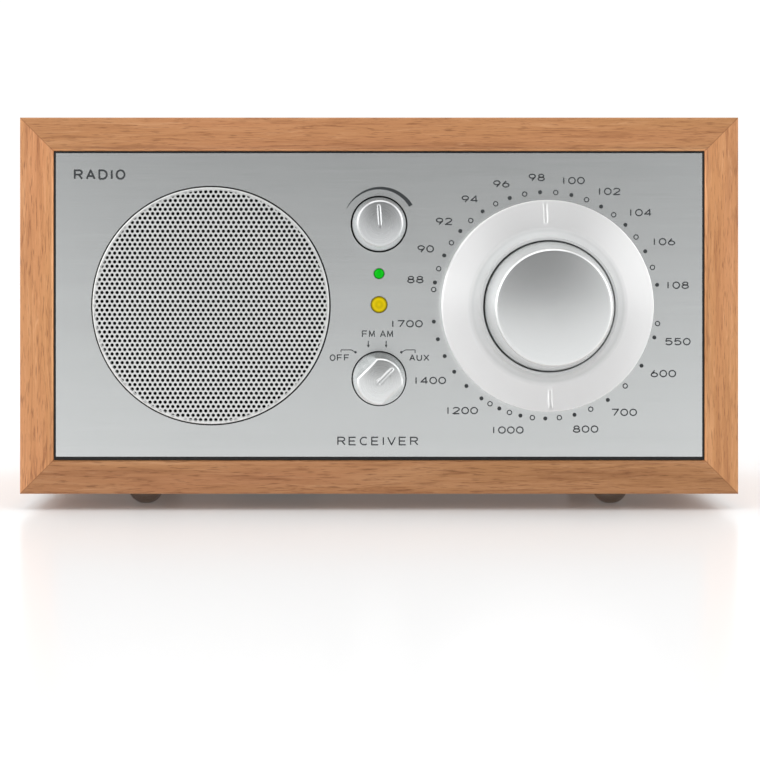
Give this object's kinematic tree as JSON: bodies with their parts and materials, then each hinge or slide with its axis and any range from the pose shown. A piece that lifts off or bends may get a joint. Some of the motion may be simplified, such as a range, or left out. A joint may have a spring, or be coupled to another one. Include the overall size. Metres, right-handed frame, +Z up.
{
  "type": "table radio",
  "caption": "Compact wooden table radio with a round speaker grille, volume and mode knobs, and a geared tuning dial.",
  "frame": {"origin": "on the surface the feet stand on, under the middle of the whole set, knobs included", "axes": "+X to the right of somebody facing the front, +Y to the rear, +Z up"},
  "size_m": [0.213, 0.133, 0.1165],
  "materials": {
    "cabinet_wood": "satin lacquered cherry, straight grain",
    "inner_wood": "bare board",
    "stained_board": "black-stained fibreboard",
    "faceplate_metal": "fine horizontal brushing",
    "knob_metal": "satin, turned face",
    "dial_metal": "spun, silver white",
    "grille_metal": "satin perforated sheet",
    "steel": "plain turned steel",
    "dark_steel": "black coated pressing",
    "zinc_plate": "zinc plated sheet",
    "black_plastic": "fine moulded texture",
    "white_nylon": "moulded",
    "green_lamp": "clear tinted, lit",
    "amber_lamp": "clear tinted",
    "clear_rubber": "clear soft polyurethane",
    "foam": "closed-cell gasket",
    "cone_paper": "pressed pulp, felted",
    "cone_cloth": "impregnated cloth",
    "ferrite": "sintered, matt",
    "circuit_board": "solder resist over copper",
    "copper_wire": "enamelled copper",
    "bare_aluminium": "extruded"
  },
  "bodies": {
    "cabinet": {"cabinet_top": "cabinet_wood", "cabinet_bottom": "cabinet_wood", "cabinet_left": "cabinet_wood", "cabinet_right": "cabinet_wood", "corner_blocks": "inner_wood", "front_baffle": "stained_board", "feet": "clear_rubber", "bass_port_tube": "black_plastic", "faceplate": "faceplate_metal", "speaker_grille": "grille_metal", "speaker_gasket": "foam", "speaker_basket": "dark_steel", "speaker_screws": "steel", "magnet_top_plate": "zinc_plate", "speaker_magnet": "ferrite", "magnet_pole": "zinc_plate", "cone_surround": "foam", "cone_spider": "cone_cloth", "volume_control": "zinc_plate", "mode_switch": "black_plastic", "control_nuts": "steel", "ring_gear": "white_nylon", "capacitor_frame": "zinc_plate", "capacitor_stator": "bare_aluminium", "power_led": "green_lamp", "tuning_led": "amber_lamp", "lamp_board": "circuit_board", "main_board": "circuit_board", "board_pillars": "white_nylon", "tuner_shield": "zinc_plate", "filter_capacitors": "black_plastic", "heat_sink": "bare_aluminium", "transformer_core": "dark_steel", "transformer_winding": "copper_wire", "antenna_rod": "ferrite", "antenna_coil": "copper_wire", "antenna_clips": "white_nylon", "rear_panel": "black_plastic", "rear_screws": "dark_steel", "audio_sockets": "black_plastic", "socket_nuts": "steel", "aerial_socket": "steel", "aerial_switch": "zinc_plate", "mains_inlet": "black_plastic"},
    "volume": {"volume_knob": "knob_metal", "volume_shaft": "steel"},
    "mode": {"mode_knob": "knob_metal", "mode_shaft": "steel"},
    "tuning": {"tuning_knob": "knob_metal", "tuning_shaft": "steel"},
    "dial": {"dial_ring": "dial_metal", "planet_carrier": "steel", "capacitor_rotor": "bare_aluminium"},
    "planet_1": {"planet_gear_1": "white_nylon"},
    "planet_2": {"planet_gear_2": "white_nylon"},
    "planet_3": {"planet_gear_3": "white_nylon"},
    "cone": {"speaker_cone": "cone_paper", "dust_cap": "cone_paper", "voice_coil": "copper_wire"},
    "slider": {"aerial_slider": "black_plastic"}
  },
  "joints": [
    {"name": "volume_turn", "type": "hinge", "parent": "cabinet", "child": "volume", "pos_m": [0, -0.0425, 0.0849], "axis": [0, 1, 0], "range_deg": [-146, 154]},
    {"name": "mode_select", "type": "hinge", "parent": "cabinet", "child": "mode", "pos_m": [0, -0.0425, 0.03905], "axis": [0, 1, 0], "range_deg": [-90, 0]},
    {"name": "tuning_turn", "type": "hinge", "parent": "cabinet", "child": "tuning", "pos_m": [0.0495, -0.0425, 0.0608], "axis": [0, 1, 0], "range_deg": [-425, 425]},
    {"name": "dial_turn", "type": "hinge", "parent": "cabinet", "child": "dial", "pos_m": [0.0495, -0.0425, 0.0608], "axis": [0, 1, 0], "range_deg": [-85, 85]},
    {"name": "planet_spin_1", "type": "hinge", "parent": "dial", "child": "planet_1", "pos_m": [0.0495, -0.0287, 0.0683], "axis": [0, 1, 0], "range_deg": [-227, 227]},
    {"name": "planet_spin_2", "type": "hinge", "parent": "dial", "child": "planet_2", "pos_m": [0.04301, -0.0287, 0.05705], "axis": [0, 1, 0], "range_deg": [-227, 227]},
    {"name": "planet_spin_3", "type": "hinge", "parent": "dial", "child": "planet_3", "pos_m": [0.056, -0.0287, 0.05705], "axis": [0, 1, 0], "range_deg": [-227, 227]},
    {"name": "cone_travel", "type": "slide", "parent": "cabinet", "child": "cone", "axis": [0, -1, 0], "range_m": [-0.0015, 0.0015], "stiffness_N_per_m": 800, "deforming": ["cone_surround", "cone_spider"]},
    {"name": "aerial_select", "type": "slide", "parent": "cabinet", "child": "slider", "axis": [-1, 0, 0], "range_m": [0, 0.003]}
  ],
  "couplings": [
    {"joint": "dial_turn", "follows": "tuning_turn", "ratio": 0.2},
    {"joint": "planet_spin_1", "follows": "tuning_turn", "ratio": -0.53333},
    {"joint": "planet_spin_2", "follows": "tuning_turn", "ratio": -0.53333},
    {"joint": "planet_spin_3", "follows": "tuning_turn", "ratio": -0.53333}
  ]
}
